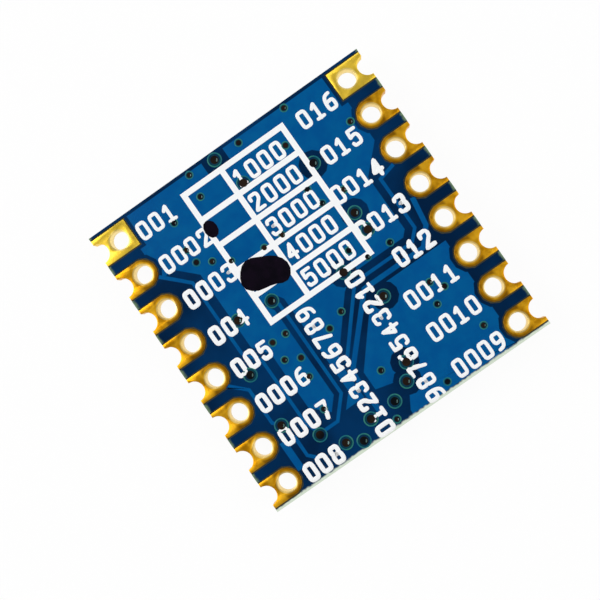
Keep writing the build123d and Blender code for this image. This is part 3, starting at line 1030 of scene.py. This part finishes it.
@dataclass
class Print:
    """The white numbers of the printed side: pad numbers, table entries and two long rows."""

    left: Sequence[tuple[str, float]] = (
        ("001", 6.7), ("0002", 4.75), ("0003", 2.7), ("004", 0.6), ("005", -1.27),
        ("0006", -3.3), ("0007", -5.2), ("008", -7.25),
    )
    right: Sequence[tuple[str, float]] = (
        ("016", 6.6), ("015", 4.55), ("0014", 2.75), ("0013", 0.7), ("012", -1.35),
        ("0011", -3.3), ("0010", -5.15), ("0009", -7.2),
    )
    table: Sequence[tuple[str, float]] = (
        ("1000", 6.12), ("2000", 4.72), ("3000", 3.28), ("4000", 1.82), ("5000", 0.36),
    )
    rows: Sequence[tuple[str, Point]] = (
        ("0123456789", (-0.85, -7.85)), ("9876543210", (2.0, -7.85)),
    )
    left_edge: float = -5.7
    right_edge: float = 5.65
    table_edge: float = -0.5
    lettering: Lettering = field(default_factory=Lettering)

    def on_lacquer(self, corner: Point, turn: float = 0.0) -> Matrix:
        """Returns the place of a number on the lacquer, from its lower left corner."""
        return (Matrix.Translation((corner[0] * MM, corner[1] * MM, Layer.LACQUER.value * MM))
                @ Matrix.Rotation(turn, 4, "Z"))

    def build(self) -> list[bpy.types.Object]:
        """Prints all numbers.

        Returns:
            One object each for the pads, the table and the long rows.
        """
        half = self.lettering.height / 2
        step, wide = self.lettering.advance, self.lettering.width
        pads = [self.lettering.number(text, self.on_lacquer((self.left_edge, y - half)))
                for text, y in self.left]
        for text, y in self.right:
            length = (len(text) - 1) * step + wide
            corner = (self.right_edge - length, y - half)
            pads.append(self.lettering.number(text, self.on_lacquer(corner)))
        entries = [self.lettering.number(text, self.on_lacquer((self.table_edge, y - half)))
                   for text, y in self.table]
        rows = [self.lettering.number(text, self.on_lacquer(corner, math.pi / 2))
                for text, corner in self.rows]
        return [joined("pad_numbers", pads), joined("table_numbers", entries),
                joined("long_numbers", rows)]


@dataclass(frozen=True)
class PackageMark:
    """The plain numbers and the first-pin dot on the flat top of a package, which faces down."""

    node: str
    lines: Sequence[str]
    height: float
    dot: float
    dot_inset: float
    thickness: float = 0.003
    # shares of the letters' height
    letter_width: float = 0.62
    letter_advance: float = 0.8
    letter_stroke: float = 0.13
    line_step: float = 1.5
    # shares of the dot's radius that its rim and dish take, and of its thickness for the dish
    dot_sides: int = 20
    dot_rim: float = 0.2
    dot_dish: float = 0.4
    dot_depth: float = 0.7

    def dot_disc(self, low: Vector, high: Vector) -> bpy.types.Object:
        """Makes the dot, a shallow disc with a dished middle.

        Args:
            low: The package's lowest corner.
            high: Its highest corner.

        Returns:
            The dot.
        """
        place = (low.x + self.dot_inset * MM, high.y - self.dot_inset * MM, low.z)
        bpy.ops.mesh.primitive_circle_add(
            vertices=self.dot_sides, radius=self.dot * MM, fill_type="NGON", location=place,
            rotation=(math.pi, 0, 0))
        disc = bpy.context.object
        with editing(disc):
            bpy.ops.mesh.inset(thickness=self.dot * self.dot_rim * MM,
                               depth=self.thickness * MM)
            bpy.ops.mesh.inset(thickness=self.dot * self.dot_dish * MM,
                               depth=-self.thickness * self.dot_depth * MM)
        place_in_mesh(disc)
        return disc

    def build(self, source: bpy.types.Object) -> bpy.types.Object:
        """Marks a package.

        Args:
            source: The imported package.

        Returns:
            The marks, as one object.
        """
        corners = [vertex.co for vertex in source.data.vertices]
        low = Vector(min(corner[axis] for corner in corners) for axis in range(3))
        high = Vector(max(corner[axis] for corner in corners) for axis in range(3))
        letters = Lettering(
            self.height, self.height * self.letter_width, self.height * self.letter_advance,
            self.height * self.letter_stroke, self.thickness)
        middle = (low + high) / 2
        gap = self.height * self.line_step * MM
        marks = []
        for row, text in enumerate(self.lines):
            length = ((len(text) - 1) * letters.advance + letters.width) * MM
            drop = (row - (len(self.lines) - 1) / 2) * gap
            corner = (middle.x - length / 2, middle.y + drop + self.height / 2 * MM, low.z)
            marks.append(letters.number(text, Matrix.Translation(corner)
                                        @ Matrix.Rotation(math.pi, 4, "X")))
        if self.dot:
            marks.append(self.dot_disc(low, high))
        return joined(f"{self.node}_marks", marks)


MARKS = (
    (PackageMark("radio_chip_body", ("0123", "45678", "901"), 0.62, 0.2, 0.6), Finish.MARK),
    (PackageMark("antenna_switch_body", ("45",), 0.5, 0.0, 0.0), Finish.MARK),
    (PackageMark("crystal_lid", ("320", "678"), 0.46, 0.0, 0.0), Finish.LID_MARK),
)


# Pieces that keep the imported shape, with rounded edges


@dataclass(frozen=True)
class Softened:
    """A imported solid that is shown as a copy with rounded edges."""

    node: str
    finish: Finish
    rounding: float = 0.02
    segments: int = 2
    sharp: float = 35.0

    def build(self, source: bpy.types.Object) -> bpy.types.Object:
        """Makes the rounded copy.

        Args:
            source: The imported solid.

        Returns:
            The copy.
        """
        piece = merged_copy(source, f"{self.node}_rounded")
        bevel = piece.modifiers.new("rounding", "BEVEL")
        bevel.width = self.rounding * MM
        bevel.segments = self.segments
        bevel.limit_method = "ANGLE"
        bevel.angle_limit = math.radians(self.sharp)
        bevel.harden_normals = False
        pick(piece)
        bpy.ops.object.modifier_apply(modifier=bevel.name)
        smooth(piece, 40.0)
        return piece


SOFTENED = [Softened(f"pad_{number:02}", Finish.GOLD, 0.012) for number in range(1, 17)] + [
    Softened("radio_chip_body", Finish.MOULDING, 0.03),
    Softened("crystal_base", Finish.WHITE_CERAMIC, 0.03),
    Softened("crystal_lid", Finish.LID, 0.04),
    Softened("antenna_switch_body", Finish.MOULDING, 0.02),
    Softened("antenna_switch_leads", Finish.TIN, 0.015),
    Softened("capacitor_bodies", Finish.TAN_CERAMIC, 0.02),
    Softened("capacitor_ends", Finish.TIN, 0.03),
    Softened("inductor_bodies", Finish.BLUE_CERAMIC, 0.02),
    Softened("inductor_ends", Finish.TIN, 0.03),
    Softened("resistor_bodies", Finish.BLACK_FILM, 0.015),
    Softened("resistor_ends", Finish.TIN, 0.025),
    Softened("solder_joints", Finish.TIN, 0.02),
]
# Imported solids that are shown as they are
DRESSED = {
    "substrate": Finish.LAMINATE,
    "via_plating": Finish.GOLD,
    "label_side_copper": Finish.FOIL,
    "label_side_mask": Finish.LACQUER,
    "printed_table": Finish.WHITE_INK,
    "marker_ink": Finish.PEN,
    "part_side_copper": Finish.GOLD,
    "part_side_mask": Finish.LACQUER,
    "component_lands": Finish.TIN,
    "radio_chip_pins": Finish.TIN,
    "radio_chip_pad": Finish.TIN,
    "crystal_terminals": Finish.GOLD,
}


# Room, light and camera


@dataclass(frozen=True)
class Lamp:
    """A square soft lamp that points at the module: its place and side are in metres."""

    name: str
    place: Place
    side: float
    watts: float

    def hang(self) -> None:
        """Hangs the lamp."""
        bpy.ops.object.light_add(type="AREA", location=self.place)
        lamp = bpy.context.object
        lamp.name = self.name
        lamp.data.shape = "SQUARE"
        lamp.data.size = self.side
        lamp.data.energy = self.watts
        lamp.rotation_euler = Vector(self.place).to_track_quat("Z", "Y").to_euler()


@dataclass
class Studio:
    """A white floor with a curved rim, soft light from above and a camera that looks down."""

    lamps: Sequence[Lamp] = (
        Lamp("key", (-0.22, 0.16, 0.26), 0.24, 0.75),
        Lamp("fill", (0.26, -0.10, 0.24), 0.3, 0.45),
        Lamp("back", (0.05, 0.34, 0.16), 0.24, 0.25),
    )
    room_light: float = 0.35
    floor_radius: float = 0.5
    floor_drop: float = 0.02
    floor_sides: int = 64
    floor_colour: Colour = (0.92, 0.92, 0.92)
    floor_rough: float = 0.9
    # share of plain white in what the camera and mirrors see of the floor
    floor_glow: float = 0.95
    # how much wider and higher each step of the floor's rim is, in metres
    rim: Sequence[Point] = (
        (0.06, 0.004), (0.05, 0.02), (0.04, 0.04), (0.02, 0.06), (0.005, 0.08), (0.0, 0.2),
    )
    # the camera's place in millimetres, its axes and its lens
    camera_place: Place = (1.345, -2.548, 58.433)
    right: Place = (0.818, -0.57215, -0.05931)
    up: Place = (0.57348, 0.81919, 0.00707)
    back: Place = (0.04454, -0.0398, 0.99821)
    focal_pixels: float = 1200.0
    picture_pixels: float = 600.0

    def floor(self) -> bpy.types.Object:
        """Lays the white floor, which curves up into a wall far from the module.

        Returns:
            The floor.
        """
        bpy.ops.mesh.primitive_circle_add(
            vertices=self.floor_sides, radius=self.floor_radius, fill_type="NGON",
            location=(0, 0, -self.floor_drop * MM))
        floor = bpy.context.object
        floor.name = "floor"
        radius = self.floor_radius
        with editing(floor, "EDGE"):
            for wider, higher in self.rim:
                bpy.ops.mesh.extrude_edges_move(TRANSFORM_OT_translate={"value": (0, 0, higher)})
                bpy.ops.transform.resize(value=((radius + wider) / radius,) * 2 + (1,),
                                         center_override=(0, 0, 0))
                radius += wider
        place_in_mesh(floor)
        smooth(floor)
        material = bpy.data.materials.new("white_floor")
        material.use_nodes = True
        sheet = Sheet(material.node_tree)
        shader = material.node_tree.nodes["Principled BSDF"]
        sheet.feed(shader, "Base Color", self.floor_colour)
        sheet.feed(shader, "Roughness", self.floor_rough)
        glow = sheet.add("ShaderNodeEmission")
        sheet.feed(glow, "Strength", 1.0)
        rays = sheet.add("ShaderNodeLightPath")
        seen = sheet.math("MAXIMUM", rays.outputs["Is Camera Ray"], rays.outputs["Is Glossy Ray"])
        mix = sheet.add("ShaderNodeMixShader")
        sheet.feed(mix, 0, sheet.math("MULTIPLY", seen, self.floor_glow))
        sheet.feed(mix, 1, shader.outputs[0])
        sheet.feed(mix, 2, glow.outputs[0])
        out = material.node_tree.nodes["Material Output"]
        sheet.feed(out, "Surface", mix.outputs[0])
        wear(floor, material)
        return floor

    def light(self) -> None:
        """Hangs the lamps and sets the even light of the room."""
        for lamp in self.lamps:
            lamp.hang()
        world = bpy.data.worlds.new("room")
        bpy.context.scene.world = world
        world.use_nodes = True
        room = world.node_tree.nodes["Background"]
        room.inputs["Color"].default_value = (1, 1, 1, 1)
        room.inputs["Strength"].default_value = self.room_light

    def camera(self) -> None:
        """Sets the camera to the photograph's view."""
        data = bpy.data.cameras.new("camera")
        camera = bpy.data.objects.new("camera", data)
        bpy.context.scene.collection.objects.link(camera)
        data.sensor_width = 36.0
        data.lens = self.focal_pixels / self.picture_pixels * data.sensor_width
        data.clip_start = 0.002
        data.clip_end = 10.0
        turn = Matrix((self.right, self.up, self.back)).transposed().to_4x4()
        camera.matrix_world = Matrix.Translation(Vector(self.camera_place) * MM) @ turn
        bpy.context.scene.camera = camera

    def build(self) -> None:
        """Sets up the whole studio."""
        self.floor()
        self.light()
        self.camera()
        bpy.context.scene.view_settings.view_transform = "Standard"


@dataclass
class Module:
    """The whole radio module."""

    nodes: dict[str, bpy.types.Object]
    shop: Shop = field(default_factory=Shop)
    made: dict[Finish, bpy.types.Material] = field(default_factory=dict)

    def material(self, finish: Finish) -> bpy.types.Material:
        """Finds the material of a finish, which is built the first time it is asked for.

        Args:
            finish: The finish.

        Returns:
            The material.
        """
        if finish not in self.made:
            self.made[finish] = finish.value.make(self.shop)
        return self.made[finish]

    def finish_piece(self, piece: bpy.types.Object, slot: str, *finishes: Finish) -> None:
        """Dresses a new piece and fixes it to the module.

        Args:
            piece: The piece.
            slot: The record's material slot; not used.
            finishes: Its finishes, in the order of its slots.
        """
        wear(piece, *[self.material(finish) for finish in finishes])
        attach(piece, "root")
        LOG.info("%s: %d faces", piece.name, len(piece.data.polygons))

    def build(self, record: dict) -> None:
        """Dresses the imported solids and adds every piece.

        Args:
            record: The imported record.
        """
        slots = {part["node"]: part["material_slot"] for part in record["subparts"]}
        for name, finish in DRESSED.items():
            wear(self.nodes[name], self.material(finish))
            LOG.info("%s: dressed", name)
        relief = LacquerRelief()
        for skin in (relief.printed_side(self.nodes["label_side_copper"]),
                     relief.hidden_side(self.nodes["part_side_mask"],
                                        self.nodes["part_side_copper"])):
            self.finish_piece(skin, "lacquer", Finish.LACQUER)
        via_finishes = (Finish.VIA_RING, Finish.VIA_MOAT, Finish.VIA_CORE, Finish.VIA_GLINT)
        for vias in Vias().build([self.material(finish) for finish in via_finishes]):
            self.finish_piece(vias, "lacquer", *via_finishes)
        for numbers in Print().build():
            self.finish_piece(numbers, "white_ink", Finish.WHITE_INK)
        for mark, finish in MARKS:
            self.finish_piece(mark.build(self.nodes[mark.node]), slots[mark.node], finish)
        for part in SOFTENED:
            piece = part.build(self.nodes[part.node])
            self.finish_piece(piece, slots[part.node], part.finish)
            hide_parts(part.node)


def main() -> None:
    """Builds the dressed module in its studio."""
    logging.basicConfig(level=logging.INFO, format="%(name)s: %(message)s")
    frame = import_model()
    Module(frame["nodes"]).build(frame["record"])
    Studio().build()


if __name__ == "__main__":
    main()
